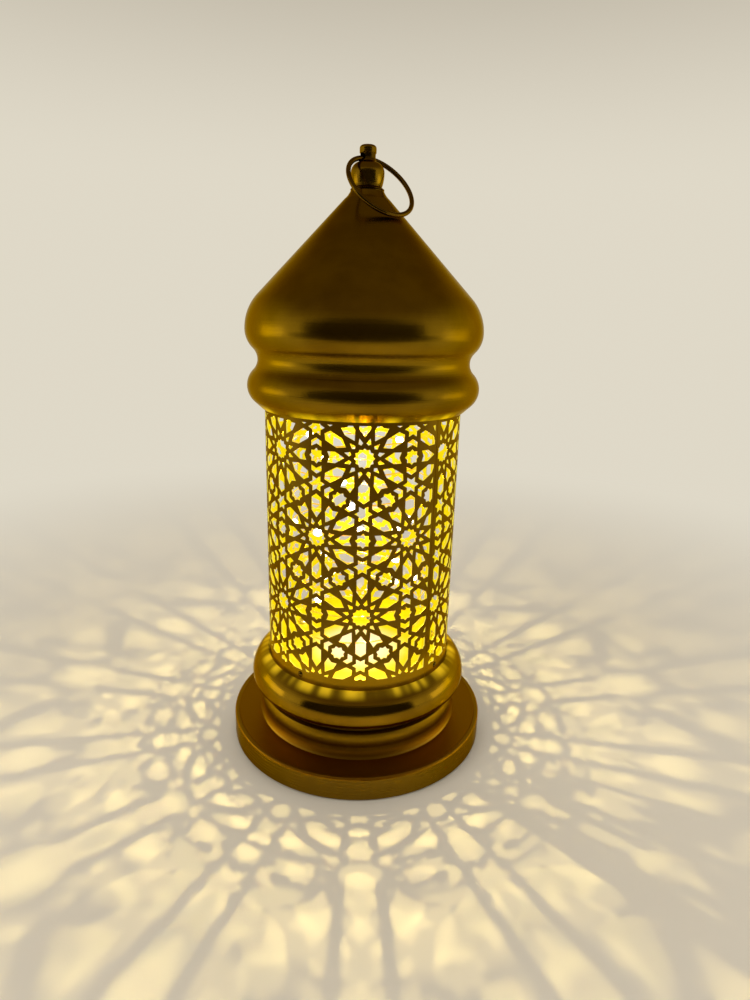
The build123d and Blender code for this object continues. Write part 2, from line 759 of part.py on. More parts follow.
# Battery door: a plate with a rounded hinge edge and a pin at each end of it
with BuildPart() as battery_door:
    with BuildSketch(Plane.YZ):
        with Locations((hinge_y, hinge_height)):
            Rectangle(door_width - door_thickness / 2, door_thickness, align=(Align.MIN, Align.CENTER))
            Circle(door_thickness / 2)
    extrude(amount=door_length / 2, both=True)
    with BuildSketch(Plane.YZ):
        with Locations((hinge_y, hinge_height)):
            Circle(hinge_pin_radius)
    extrude(amount=door_length / 2 + hinge_pin_length, both=True)
    with BuildSketch(Plane.XY.offset(pad_thickness)):
        with Locations((0, door_width / 2 - grip_groove_count * grip_groove_pitch)):
            with GridLocations(0, grip_groove_pitch, 1, grip_groove_count):
                Rectangle(grip_groove_length, grip_groove_width)
    extrude(amount=grip_groove_depth, mode=Mode.SUBTRACT)
battery_door.part.label = "battery_door"
export_step(battery_door.part, "parts/battery_door.step")

# Cells side by side, every other one turned round, with a plate at each end and a spring at the flat end
cells = []
for index in range(cell_count):
    facing = 1 - 2 * (index % 2)
    cells.append(((index - (cell_count - 1) / 2) * cell_pitch, facing))
wall_x = tub_length / 2
flat_x = wall_x - plate_thickness - spring_length
with BuildPart() as batteries:
    for y, facing in cells:
        flat_end = Plane(origin=(-facing * flat_x, y, cell_height), z_dir=(facing, 0, 0))
        with BuildSketch(flat_end):
            Circle(cell_radius)
        extrude(amount=cell_length)
        with BuildSketch(flat_end.offset(cell_length)):
            Circle(button_radius)
        extrude(amount=button_height)
batteries.part.label = "batteries"
export_step(batteries.part, "parts/batteries.step")

with BuildPart() as contact_plates:
    with BuildSketch(Plane.YZ.offset(-wall_x), Plane.YZ.offset(wall_x - plate_thickness)):
        for y, facing in cells:
            with Locations((y, cell_height)):
                Rectangle(plate_size, plate_size)
    extrude(amount=plate_thickness)
contact_plates.part.label = "contact_plates"
export_step(contact_plates.part, "parts/contact_plates.step")

with BuildPart() as contact_springs:
    points, starts = coil_points(spring_radius, spring_pitch, spring_turns)
    print("spring gap", least_turn_gap(points, spring_wire_radius))
    for y, facing in cells:
        seat_x = -facing * (wall_x - plate_thickness - spring_wire_radius)
        seat = Plane(origin=(seat_x, y, cell_height), z_dir=(facing, 0, 0))
        with BuildLine() as spring_path:
            for index, start in enumerate(starts):
                ends = [seat.from_local_coords(point) for point in points[index:index + 2]]
                TangentArc(*ends, tangent=seat.from_local_coords(start) - seat.origin)
        with BuildSketch(Plane(origin=spring_path.line @ 0, z_dir=spring_path.line % 0)):
            Circle(spring_wire_radius)
        sweep()
contact_springs.part.label = "contact_springs"
export_step(contact_springs.part, "parts/contact_springs.step")

# Slide switch behind the tub, with its slider reaching down through the cover
slider_bottom = cover_top + fit_clearance
switch_top = cover_top + switch_height
track_length = slider_length + switch_travel + 2 * sliding_clearance
with BuildPart() as switch_body:
    with BuildSketch(Plane.XY.offset(cover_top)):
        with Locations((0, coil_radius)):
            Rectangle(switch_length, switch_width)
    extrude(amount=switch_height)
    with BuildSketch(Plane.XY.offset(cover_top)):
        with Locations((0, coil_radius)):
            Rectangle(track_length, slider_width + 2 * sliding_clearance)
    extrude(amount=slider_height + fit_clearance + sliding_clearance, mode=Mode.SUBTRACT)
switch_body.part.label = "switch_body"
export_step(switch_body.part, "parts/switch_body.step")

knob_bottom = pad_thickness - knob_reach
with BuildPart() as switch_slider:
    with BuildSketch(Plane.XY.offset(slider_bottom)):
        with Locations((-switch_travel / 2, coil_radius)):
            Rectangle(slider_length, slider_width)
    extrude(amount=slider_height)
    with BuildSketch(Plane.XY.offset(knob_bottom)):
        with Locations((-switch_travel / 2, coil_radius)):
            Rectangle(knob_length, knob_width)
    extrude(amount=slider_bottom - knob_bottom)
    with BuildSketch(Plane.XY.offset(knob_bottom)):
        with Locations((-switch_travel / 2, coil_radius)):
            with GridLocations(knob_length / (knob_groove_count + 1), 0, knob_groove_count, 1):
                Rectangle(knob_groove_width, knob_width)
    extrude(amount=knob_groove_width, mode=Mode.SUBTRACT)
switch_slider.part.label = "switch_slider"
export_step(switch_slider.part, "parts/switch_slider.step")

# Light string: up from the switch, through the pan, and round in a rising coil
coil_plane = Plane(origin=(0, 0, coil_bottom), x_dir=(0, 1, 0), z_dir=(0, 0, 1))
points, starts = coil_points(coil_radius, coil_pitch, coil_turns)
coil_path_points = [coil_plane.from_local_coords(point) for point in points]
with BuildPart() as string_wire:
    with BuildLine() as string_path:
        riser = Line((riser_x, coil_radius, switch_top), (riser_x, coil_radius, riser_top))
        TangentArc(riser @ 1, coil_path_points[0], tangent=(0, 0, 1))
        for index, start in enumerate(starts):
            direction = coil_plane.from_local_coords(start) - coil_plane.origin
            TangentArc(*coil_path_points[index:index + 2], tangent=direction)
    with BuildSketch(Plane(origin=riser @ 0, z_dir=riser % 0)):
        Circle(wire_radius)
    sweep()
string_wire.part.label = "string_wire"
export_step(string_wire.part, "parts/string_wire.step")
print("string gap", least_turn_gap(coil_path_points, wire_radius))
string_length = sum(edge.length for edge in string_path.edges())
print("string length", string_length)
print("string volume", string_wire.part.volume, "of", pi * wire_radius ** 2 * string_length)

# Lamps: beads of clear resin round the wire
with BuildPart() as led_beads:
    for turns in lamp_turns:
        angle = 2 * pi * turns
        heading = (-sin(angle), cos(angle), string_slope)
        tangent = coil_plane.from_local_coords(heading) - coil_plane.origin
        place = (coil_radius * cos(angle), coil_radius * sin(angle), coil_pitch * turns)
        spot = coil_plane.from_local_coords(place)
        across = tangent.cross(Vector(0, 0, 1))
        with BuildSketch(Plane(origin=spot, x_dir=tangent, z_dir=across)):
            Ellipse(lamp_length / 2, lamp_radius)
            Rectangle(lamp_length, lamp_radius, align=(Align.CENTER, Align.MIN), mode=Mode.INTERSECT)
        revolve(axis=Axis(spot, tangent))
    add(string_wire.part, mode=Mode.SUBTRACT)
led_beads.part.label = "led_beads"
export_step(led_beads.part, "parts/led_beads.step")

# Grommet round the wire in the pan
grommet_plane = Plane(origin=(*riser_spot, 0), x_dir=(1, 0, 0), z_dir=(0, -1, 0))
with BuildPart() as deck_grommet:
    with BuildSketch(grommet_plane):
        with BuildLine():
            Polyline(
                (grommet_bore, deck_height - grommet_lip),
                (grommet_radius + grommet_flange, deck_height - grommet_lip),
                (grommet_radius + grommet_flange, deck_height),
                (grommet_radius, deck_height),
                (grommet_radius, pan_top),
                (grommet_radius + grommet_flange, pan_top),
                (grommet_radius, pan_top + grommet_lip),
                (grommet_bore, pan_top + grommet_lip),
                close=True,
            )
        make_face()
    revolve(axis=Axis((*riser_spot, 0), (0, 0, 1)))
deck_grommet.part.label = "deck_grommet"
export_step(deck_grommet.part, "parts/deck_grommet.step")

# Ring in the neck of the dome: its flange rests on the sheet, its skirt hangs inside it
skirt_radius = sheet_inner_radius - sliding_clearance
with BuildPart() as dome_ring:
    with BuildSketch(Plane.XZ):
        with BuildLine():
            Polyline(
                (neck_inner_radius - fit_clearance, sheet_top),
                (neck_inner_radius - fit_clearance, sheet_top + ring_flange_thickness),
                (skirt_radius - skirt_thickness, sheet_top + ring_flange_thickness),
                (skirt_radius - skirt_thickness, skirt_bottom),
                (skirt_radius, skirt_bottom),
                (skirt_radius, sheet_top),
                close=True,
            )
        make_face()
    revolve(axis=Axis.Z)
dome_ring.part.label = "dome_ring"
export_step(dome_ring.part, "parts/dome_ring.step")

# Finial: turned knob with a cross hole for the ring and a stud below
collar_bottom = crown_height + finial_flare_height
collar_top = collar_bottom + finial_collar_height
groove_middle = (collar_bottom + collar_top) / 2
waist_height = collar_top + finial_waist_height
body_height = waist_height + finial_body_height
finial_neck_bottom = body_height + finial_shoulder_height
finial_neck_top = finial_neck_bottom + finial_neck_height
finial_top = finial_neck_top + finial_cap_height
shoulder_joint = (
    finial_body_radius + (finial_neck_radius - finial_body_radius) * finial_shoulder_share,
    body_height + finial_shoulder_height * finial_shoulder_share,
)
hinge_point = Vector(0, 0, finial_neck_top - ring_hole_drop)
hinge_axis = Vector(*around(1, ring_azimuth + 90, 0))
with BuildPart() as finial:
    with BuildSketch(Plane.XZ):
        with BuildLine():
            stud = Polyline(
                (0, crown_height - stud_length),
                (stud_radius, crown_height - stud_length),
                (stud_radius, crown_height),
                (crown_radius, crown_height),
            )
            flare = SagittaArc(stud @ 1, (finial_collar_radius, collar_bottom), finial_flare_bow)
            collar = Polyline(
                flare @ 1,
                (finial_collar_radius, groove_middle - finial_groove_width / 2),
                (finial_collar_radius - finial_groove_depth, groove_middle),
                (finial_collar_radius, groove_middle + finial_groove_width / 2),
                (finial_collar_radius, collar_top),
                (finial_waist_radius, waist_height),
            )
            TangentArc((finial_body_radius, body_height), collar @ 1, tangent=(0, -1))
            TangentArc((finial_body_radius, body_height), shoulder_joint, tangent=(0, 1))
            TangentArc((finial_neck_radius, finial_neck_bottom), shoulder_joint, tangent=(0, -1))
            neck = Polyline(
                (finial_neck_radius, finial_neck_bottom),
                (finial_neck_radius, finial_neck_top),
                (finial_cap_radius, finial_neck_top + finial_cap_slope),
                (finial_cap_radius, finial_top - finial_cap_edge),
            )
            cap = TangentArc(neck @ 1, (finial_cap_radius - finial_cap_edge, finial_top), tangent=(0, 1))
            Polyline(cap @ 1, (0, finial_top), stud @ 0)
        make_face()
    revolve(axis=Axis.Z)
    with BuildSketch(Plane(origin=hinge_point, z_dir=hinge_axis)):
        Circle(ring_hole_radius)
    extrude(amount=finial_body_radius, both=True, mode=Mode.SUBTRACT)
finial.part.label = "finial"
export_step(finial.part, "parts/finial.step")

washer_top = crown_height - dome_wall
with BuildPart() as finial_washer:
    with BuildSketch(Plane.XY.offset(washer_top)):
        Circle(washer_radius)
        Circle(stud_hole_radius, mode=Mode.SUBTRACT)
    extrude(amount=-washer_thickness)
finial_washer.part.label = "finial_washer"
export_step(finial_washer.part, "parts/finial_washer.step")

with BuildPart() as finial_nut:
    with BuildSketch(Plane.XY.offset(washer_top - washer_thickness)):
        RegularPolygon(finial_nut_across_flats / 2, 6, major_radius=False)
        Circle(stud_hole_radius, mode=Mode.SUBTRACT)
    extrude(amount=-finial_nut_height)
finial_nut.part.label = "finial_nut"
export_step(finial_nut.part, "parts/finial_nut.step")

# Hanging ring, tilted until it lies on the cone
cone_normal = Vector(1, cone_slope).normalized()
ring_rise = hinge_point.Z - crown_height
crown_reach = crown_radius * cone_normal.X - ring_rise * cone_normal.Y
rest_reach = ring_wire_radius + sliding_clearance + crown_reach
ring_tilt = atan2(cone_normal.Y, cone_normal.X) + asin(rest_reach / (2 * ring_radius))
ring_fall = Vector(*around(sin(ring_tilt), ring_azimuth, -cos(ring_tilt)))
ring_plane = Plane(
    origin=hinge_point + ring_fall * ring_radius, x_dir=hinge_axis, z_dir=hinge_axis.cross(ring_fall)
)
with BuildPart(ring_plane) as hanging_ring:
    Torus(ring_radius, ring_wire_radius)
hanging_ring.part.label = "hanging_ring"
export_step(hanging_ring.part, "parts/hanging_ring.step")
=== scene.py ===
import math

import bmesh
import bpy
from mathutils import Matrix, Vector


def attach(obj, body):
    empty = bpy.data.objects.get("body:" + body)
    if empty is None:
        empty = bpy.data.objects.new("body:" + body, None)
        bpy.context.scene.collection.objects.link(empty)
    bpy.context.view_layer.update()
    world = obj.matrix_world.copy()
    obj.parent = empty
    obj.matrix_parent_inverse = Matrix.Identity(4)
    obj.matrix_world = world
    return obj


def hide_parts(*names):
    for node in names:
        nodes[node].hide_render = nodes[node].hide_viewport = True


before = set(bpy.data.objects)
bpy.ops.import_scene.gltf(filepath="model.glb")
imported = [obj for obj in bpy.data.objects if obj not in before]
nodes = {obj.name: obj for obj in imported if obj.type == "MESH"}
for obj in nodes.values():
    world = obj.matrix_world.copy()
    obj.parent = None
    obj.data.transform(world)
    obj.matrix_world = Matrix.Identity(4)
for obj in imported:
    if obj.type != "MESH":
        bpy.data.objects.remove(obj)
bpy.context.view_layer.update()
scene = bpy.context.scene
scene.view_settings.view_transform = "Standard"
print("frame loaded:", len(nodes), "nodes")


def addObject(name, data):
    made = bpy.data.objects.new(name, data)
    scene.collection.objects.link(made)
    return made


# camera, at the photograph's viewing angle
cameraPlan = {
    "place": (0, -0.2838, 0.1960),
    "down": 0.2799,  # radians below the horizon
    "turn": -0.0223,
    "roll": 0.0259,
    "lens": 23.06,
    "nearest": 0.01,
}


def makeCamera(plan):
    data = bpy.data.cameras.new("photoCamera")
    data.lens = plan["lens"]
    data.clip_start = plan["nearest"]
    camera = addObject("photoCamera", data)
    aim = Matrix.Rotation(plan["turn"], 4, "Z") @ Matrix.Rotation(math.pi / 2 - plan["down"], 4, "X")
    camera.matrix_world = Matrix.Translation(plan["place"]) @ aim @ Matrix.Rotation(plan["roll"], 4, "Z")
    scene.camera = camera


makeCamera(cameraPlan)
print("camera placed")


class Link:
    # wraps one socket of a material, so that sums of sockets add Math nodes
    def __init__(self, tree, socket=None):
        self.tree = tree
        self.socket = socket

    def node(self, kind, settings=None, sockets=None, output=0):
        made = self.tree.nodes.new(kind)
        for name, value in (settings or {}).items():
            setattr(made, name, value)
        for name, value in (sockets or {}).items():
            if isinstance(value, Link):
                self.tree.links.new(value.socket, made.inputs[name])
            else:
                made.inputs[name].default_value = value
        return Link(self.tree, made.outputs[output])

    def math(self, operation, first, second=0.0):
        return self.node("ShaderNodeMath", {"operation": operation}, {0: first, 1: second})

    def __add__(self, other):
        return self.math("ADD", self, other)

    __radd__ = __add__

    def __sub__(self, other):
        return self.math("SUBTRACT", self, other)

    def __rsub__(self, other):
        return self.math("SUBTRACT", other, self)

    def __mul__(self, other):
        return self.math("MULTIPLY", self, other)

    __rmul__ = __mul__

    def __truediv__(self, other):
        return self.math("DIVIDE", self, other)

    def __rtruediv__(self, other):
        return self.math("DIVIDE", other, self)

    def __pow__(self, other):
        return self.math("POWER", self, other)

    def spread(self, low, high, bottom=0.0, top=1.0):
        # smooth step from bottom to top while the value goes from low to high
        return self.node(
            "ShaderNodeMapRange",
            {"interpolation_type": "SMOOTHSTEP"},
            {"Value": self, "From Min": low, "From Max": high, "To Min": bottom, "To Max": top},
        )

    def between(self, low, high, blur):
        # one while the value lies between low and high, with soft edges
        return self.spread(low - blur, low + blur) * self.spread(high + blur, high - blur)

    def tint(self, first, second):
        # colour between two colours, by this value
        return self.node(
            "ShaderNodeMix", {"data_type": "RGBA"}, {0: self, 6: colourOf(first), 7: colourOf(second)}, 2
        )


def colourOf(value):
    return value if isinstance(value, Link) else (*value, 1)


def startFinish(name):
    material = bpy.data.materials.new(name)
    material.use_nodes = True
    tree = material.node_tree
    shader = tree.nodes["Principled BSDF"]
    place = Link(tree).node("ShaderNodeTexCoord", output="Object")
    return material, shader, place


def feed(shader, sockets):
    for name, value in sockets.items():
        if isinstance(value, Link):
            value.tree.links.new(value.socket, shader.inputs[name])
        else:
            shader.inputs[name].default_value = value


def noise(place, scale, detail=3.0, roughness=0.5):
    sockets = {"Vector": place, "Scale": scale, "Detail": detail, "Roughness": roughness}
    return place.node("ShaderNodeTexNoise", {}, sockets)


def cloudTone(cloud, plan):
    return cloud.spread(0.3, 0.7).tint(plan["deep"], plan["bright"])


def roundCoords(place):
    # place about the lantern's axis, with the azimuth from the front towards the right
    parts = place.node("ShaderNodeSeparateXYZ", {}, {0: place}).socket.node.outputs
    x, y, z = [Link(place.tree, part) for part in parts]
    return {"radius": (x * x + y * y) ** 0.5, "height": z, "azimuth": place.math("ARCTAN2", x, -1 * y)}


def bump(height, strength, distance):
    return height.node("ShaderNodeBump", {}, {"Height": height, "Strength": strength, "Distance": distance})


goldRim = (0.80, 0.58, 0.14)  # colour of all gold seen at a flat angle


# spun and plated gold: fine lathe lines, soft clouding, and bands of painted tone by height: painted shade
# in the recesses, painted highlights and painted reflection on the flats and edges
def spunGold(name, plan):
    material, shader, place = startFinish(name)
    spot = roundCoords(place)
    height = spot["height"]
    lathe = place.node("ShaderNodeCombineXYZ", {}, {0: spot["radius"], 1: 0.0, 2: height})
    lines = noise(lathe, plan["lineScale"], 2.0)
    cloud = noise(place, plan["cloudScale"], 4.0, 0.55)
    grain = noise(place, plan["grainScale"], 2.0)
    colour = cloud.spread(0.32, 0.68).tint(plan["deep"], plan["bright"])
    rough = plan["rough"] + (lines - 0.5) * plan["lineRough"] + (cloud - 0.5) * plan["cloudRough"]
    # lay each band of painted shade and painted highlight over the colour, by height
    for low, high, blur, tone, share, satin in plan["bands"]:
        paintedBand = height.between(low, high, blur)
        colour = (paintedBand * share).tint(colour, tone)
        rough = rough + paintedBand * satin
    surface = lines * plan["lineDepth"] + grain * plan["grainDepth"]
    feed(shader, {
        "Base Color": colour,
        "Metallic": 1.0,
        "Roughness": rough,
        "Specular Tint": (*goldRim, 1),
        "Normal": bump(surface, 0.35, 0.0004),
    })
    if "glow" in plan:
        # lamplight through the piercing, in streaks round the axis
        low, high, blur, lamplight = plan["glow"]
        flat = place.node("ShaderNodeVectorMath", {"operation": "MULTIPLY"}, {0: place, 1: (1, 1, 0)})
        heading = place.node("ShaderNodeVectorMath", {"operation": "NORMALIZE"}, {0: flat})
        streaks = noise(heading, plan["streaks"], 1.0).spread(0.36, 0.70, 0.06, 1.0)
        feed(shader, {
            "Emission Color": (height.between(low, high, blur) * streaks).tint((0, 0, 0), lamplight),
            "Emission Strength": 1.0,
        })
    return material


# a band of painted light: low and high edge, blur, tone and its share, added roughness; a dark tone paints
# shade into a recess, light tones paint highlights and reflections onto the beads, flats and edges; a glow:
# edges, blur, lamplight
goldPlans = {
    "domeGold": {
        "deep": (0.175, 0.094, 0.0035), "bright": (0.250, 0.142, 0.0060),
        "rough": 0.24, "lineRough": 0.08, "cloudRough": 0.10, "lineScale": 2600.0, "cloudScale": 38.0,
        "grainScale": 1500.0, "lineDepth": 0.30, "grainDepth": 0.12,
        # painted highlight: a lighter band on the dome's lower part
        "bands": [(0.1742, 0.1805, 0.0012, (0.300, 0.172, 0.0060), 0.5, 0.05)],
        "glow": (0.1500, 0.1590, 0.0016, (0.68, 0.46, 0.004)), "streaks": 5.0,
    },
    "baseGold": {
        "deep": (0.210, 0.110, 0.0045), "bright": (0.300, 0.168, 0.0080),
        "rough": 0.13, "lineRough": 0.06, "cloudRough": 0.08, "lineScale": 2400.0, "cloudScale": 45.0,
        "grainScale": 1600.0, "lineDepth": 0.22, "grainDepth": 0.08,
        "bands": [
            # painted shade in the recess between the bead and the torus, painted highlight on the bead,
            # painted reflection on the flange top, a darker and duller flange side, and a painted highlight
            # along the hem edge
            (0.0222, 0.0258, 0.0006, (0.060, 0.028, 0.0020), 0.75, 0.16),
            (0.0140, 0.0222, 0.0008, (0.360, 0.200, 0.0060), 0.60, 0.30),
            (0.0100, 0.0140, 0.0008, (0.360, 0.155, 0.0050), 0.85, 0.30),
            (-0.01, 0.0098, 0.0005, (0.190, 0.108, 0.0100), 0.6, 0.14),
            (0.0107, 0.0113, 0.0002, (0.360, 0.210, 0.0220), 0.6, -0.10),
        ],
        "glow": (0.0404, 0.0440, 0.0014, (0.66, 0.41, 0.010)), "streaks": 6.5,
    },
    "finialGold": {
        "deep": (0.190, 0.102, 0.0045), "bright": (0.280, 0.160, 0.0080),
        "rough": 0.17, "lineRough": 0.08, "cloudRough": 0.12, "lineScale": 3800.0, "cloudScale": 120.0,
        "grainScale": 2200.0, "lineDepth": 0.25, "grainDepth": 0.10,
        "bands": [
            # painted shade: two thin dark lines in the finial's creases
            (0.2440, 0.2464, 0.0004, (0.045, 0.021, 0.0025), 0.6, 0.06),
            (0.2556, 0.2580, 0.0004, (0.045, 0.021, 0.0025), 0.6, 0.06),
        ],
    },
}

# light string: lamps along a rising coil
stringPlan = {
    "radius": 0.0310,
    "pitch": 0.0125,
    "turns": 8,
    "bottom": 0.0517,
    "wire": 0.0003,
    "perTurn": 16,
    "riserX": 0.00608,
    "riserFoot": 0.0122,
    "riserBend": 0.0120,
    "riserTop": 0.0008,  # below the coil's first point
    "lamps": (0.12, 0.9, 1.1, 1.9, 2.1, 2.64, 3.0, 3.85, 4.29, 4.4, 4.58, 5.05, 5.48, 6.1, 6.9, 7.15, 8),
}


def coilSpot(turn, plan, radius):
    angle = 2 * math.pi * turn
    height = plan["bottom"] + plan["pitch"] * turn
    return Vector((-radius * math.sin(angle), radius * math.cos(angle), height))


lampSpots = [coilSpot(turn, stringPlan, stringPlan["radius"]) for turn in stringPlan["lamps"]]


def lampGlow(place, reach):
    # light that falls on a point from all lamps of the string
    total = 0.0
    for spot in lampSpots:
        distance = place.node("ShaderNodeVectorMath", {"operation": "DISTANCE"}, {0: place, 1: spot}, 1)
        total = total + 1 / (1 + (distance / reach) ** 2.0)
    return total


# pierced sheet: dark plated face outside, bare inside with painted lamplight, and painted glints of
# lamplight on the cut edges
sheetPlan = {
    "faceEdge": (0.04264, 0.04282), "cutEdge": (0.04228, 0.04238),  # radii between face, cut edge and inside
    "deep": (0.080, 0.046, 0.0040), "bright": (0.130, 0.078, 0.0085), "bare": (0.05, 0.030, 0.002),
    "dim": (0.92, 0.62, 0.0), "lit": (1.0, 0.78, 0.004), "hot": (1.0, 0.95, 0.55), "cut": (1.0, 0.84, 0.10),
    "margin": (0.0560, 0.0480), "marginFoot": (0.0428, 0.0444), "marginLight": (0.180, 0.086, 0.0),
    "faceLight": (0.052, 0.022, 0.0),
    "cloudScale": 55.0, "rollScale": 1500.0, "rollStretch": (1.0, 1.0, 0.06), "grainScale": 1800.0,
    "rough": 0.34, "reach": 0.012, "litGlow": (0.1, 0.8), "hotGlow": (2.2, 5.0), "strength": 0.9,
    "seamStart": (0.762, 0.766), "seamEnd": (0.782, 0.778),
}


def sheetGold(name, plan):
    material, shader, place = startFinish(name)
    spot = roundCoords(place)
    radius, height, azimuth = spot["radius"], spot["height"], spot["azimuth"]
    inside = 1 - radius.spread(*plan["faceEdge"])
    cut = inside * radius.spread(*plan["cutEdge"])
    seam = azimuth.spread(*plan["seamStart"]) * azimuth.spread(*plan["seamEnd"])
    inside = inside - cut * seam
    cloud = noise(place, plan["cloudScale"], 4.0, 0.6)
    stretched = place.node("ShaderNodeMapping", {}, {"Vector": place, "Scale": plan["rollStretch"]})
    rolled = noise(stretched, plan["rollScale"], 2.0)
    grain = noise(place, plan["grainScale"], 2.0)
    face = cloudTone(cloud, plan)
    glow = lampGlow(place, plan["reach"])
    shine = glow.spread(*plan["litGlow"]).tint(plan["dim"], plan["lit"])
    shine = glow.spread(*plan["hotGlow"]).tint(shine, plan["hot"])
    # painted glint: the cut edges of the holes glow bright yellow
    shine = cut.tint(shine, plan["cut"])
    margin = height.spread(*plan["margin"]) * height.spread(*plan["marginFoot"])
    spill = margin.tint(plan["faceLight"], plan["marginLight"])  # lamplight back on the outer face
    feed(shader, {
        "Base Color": inside.tint(face, plan["bare"]),
        "Metallic": 1.0,
        "Roughness": plan["rough"] + (cloud - 0.5) * 0.12 + (rolled - 0.5) * 0.10,
        "Normal": bump(rolled * 0.25 + grain * 0.15, 0.3, 0.0003),
        "Specular Tint": (*goldRim, 1),
        "Emission Color": (inside * (0.85 + 0.3 * cloud)).tint(spill, shine),
        "Emission Strength": plan["strength"],
    })
    return material


# pan and ring inside the lantern, lit by the lamps and brightest about the axis
innerPlan = {
    "deep": (0.16, 0.095, 0.008), "bright": (0.24, 0.15, 0.014),
    "lit": (1.0, 0.76, 0.004), "hot": (1.0, 0.96, 0.62),
    "core": 0.010, "wide": 0.026, "share": 0.9, "rough": 0.36, "cloudScale": 70.0, "grainScale": 1500.0,
}


def innerGold(name, plan):
    material, shader, place = startFinish(name)
    cloud = noise(place, plan["cloudScale"], 4.0, 0.6)
    grain = noise(place, plan["grainScale"], 2.0)
    shine = roundCoords(place)["radius"].spread(plan["wide"], plan["core"]).tint(plan["lit"], plan["hot"])
    feed(shader, {
        "Base Color": cloudTone(cloud, plan),
        "Metallic": 1.0,
        "Roughness": plan["rough"] + (cloud - 0.5) * 0.15,
        "Normal": bump(grain, 0.2, 0.0003),
        "Emission Color": (plan["share"] * (0.85 + 0.3 * cloud)).tint((0, 0, 0), shine),
        "Emission Strength": 1.0,
    })
    return material


# drawn wire ring and rivet heads: polished, with fine scratches along the wire
def wireGold(name, plan):
    material, shader, place = startFinish(name)
    cloud = noise(place, plan["cloudScale"], 3.0)
    scratch = noise(place, plan["scratchScale"], 1.0)
    feed(shader, {
        "Base Color": cloudTone(cloud, plan),
        "Metallic": 1.0,
        "Roughness": plan["rough"] + (cloud - 0.5) * 0.16,
        "Specular Tint": (*goldRim, 1),
        "Normal": bump(scratch, 0.05, 0.0001),
    })
    return material


# plain metals of the fasteners, contacts and wire
def plainMetal(name, plan):
    material, shader, place = startFinish(name)
    cloud = noise(place, plan["cloudScale"], 4.0, 0.6)
    grain = noise(place, plan["grainScale"], 2.0)
    feed(shader, {
        "Base Color": cloudTone(cloud, plan),
        "Metallic": 1.0,
        "Roughness": plan["rough"] + (cloud - 0.5) * 0.2,
        "Normal": bump(grain, 0.2, 0.0002),
    })
    return material


# the string's lacquered wire, lit by the lamps on it
def litWire(name, plan):
    material, shader, place = startFinish(name)
    cloud = noise(place, plan["cloudScale"], 4.0, 0.6)
    feed(shader, {
        "Base Color": cloudTone(cloud, plan),
        "Metallic": 1.0,
        "Roughness": plan["rough"] + (cloud - 0.5) * 0.2,
        "Emission Color": cloud.spread(0.2, 0.8).tint(plan["dim"], plan["lit"]),
        "Emission Strength": plan["strength"],
    })
    return material


# moulded plastics and rubber: fine spark-eroded grain
def moulded(name, plan):
    material, shader, place = startFinish(name)
    cloud = noise(place, plan["cloudScale"], 3.0)
    grain = noise(place, plan["grainScale"], 3.0, 0.6)
    feed(shader, {
        "Base Color": (cloud * 0.5 + grain * 0.5).spread(0.35, 0.65).tint(plan["deep"], plan["bright"]),
        "Roughness": plan["rough"] + (grain - 0.5) * 0.2,
        "Normal": bump(grain, plan["depth"], 0.0003),
    })
    return material


# lamp: clear resin drop with a bright chip inside
def lampResin(name, plan):
    material, shader, place = startFinish(name)
    cloud = noise(place, plan["cloudScale"], 2.0)
    feed(shader, {
        "Base Color": cloud.spread(0.3, 0.7).tint(plan["resin"], plan["core"]),
        "Roughness": plan["rough"] + cloud * 0.08,
        "Emission Color": cloud.spread(0.25, 0.75).tint(plan["resin"], plan["core"]),
        "Emission Strength": plan["strength"],
    })
    return material


# wrapped cell: plain dark sleeve with bare metal at both ends
def cellWrap(name, plan):
    material, shader, place = startFinish(name)
    parts = place.node("ShaderNodeSeparateXYZ", {}, {0: place})
    along = parts.math("ABSOLUTE", parts)
    grain = noise(place, plan["grainScale"], 3.0)
    bare = along.spread(*plan["sleeve"])
    feed(shader, {
        "Base Color": bare.tint(cloudTone(grain, plan), plan["metal"]),
        "Metallic": bare,
        "Roughness": plan["rough"] + (grain - 0.5) * 0.2,
        "Normal": bump(grain, 0.1, 0.0002),
    })
    return material


wirePlans = {
    "ringGold": {
        "deep": (0.110, 0.057, 0.005), "bright": (0.175, 0.097, 0.008), "rough": 0.22,
        "cloudScale": 160.0, "scratchScale": 2600.0,
    },
    "rivetGold": {
        "deep": (0.130, 0.074, 0.008), "bright": (0.200, 0.118, 0.015), "rough": 0.26,
        "cloudScale": 300.0, "scratchScale": 2600.0,
    },
}
metalPlans = {
    "zincSteel": {
        "deep": (0.34, 0.34, 0.33), "bright": (0.52, 0.51, 0.48), "rough": 0.32,
        "cloudScale": 260.0, "grainScale": 2500.0,
    },
    "nickel": {
        "deep": (0.50, 0.49, 0.46), "bright": (0.68, 0.67, 0.63), "rough": 0.20,
        "cloudScale": 300.0, "grainScale": 2500.0,
    },
}
copperPlan = {
    "deep": (0.52, 0.24, 0.07), "bright": (0.74, 0.40, 0.14),
    "dim": (0.70, 0.38, 0.010), "lit": (0.95, 0.60, 0.03),
    "rough": 0.24, "cloudScale": 220.0, "strength": 0.8,
}
mouldedPlans = {
    "blackPlastic": {
        "deep": (0.012, 0.011, 0.010), "bright": (0.030, 0.028, 0.026), "rough": 0.55,
        "cloudScale": 60.0, "grainScale": 2200.0, "depth": 0.30,
    },
    "padRubber": {
        "deep": (0.010, 0.010, 0.010), "bright": (0.028, 0.028, 0.028), "rough": 0.75,
        "cloudScale": 60.0, "grainScale": 1500.0, "depth": 0.45,
    },
    "ivoryPlastic": {
        "deep": (0.52, 0.50, 0.44), "bright": (0.64, 0.62, 0.56), "rough": 0.42,
        "cloudScale": 60.0, "grainScale": 2500.0, "depth": 0.15,
    },
}
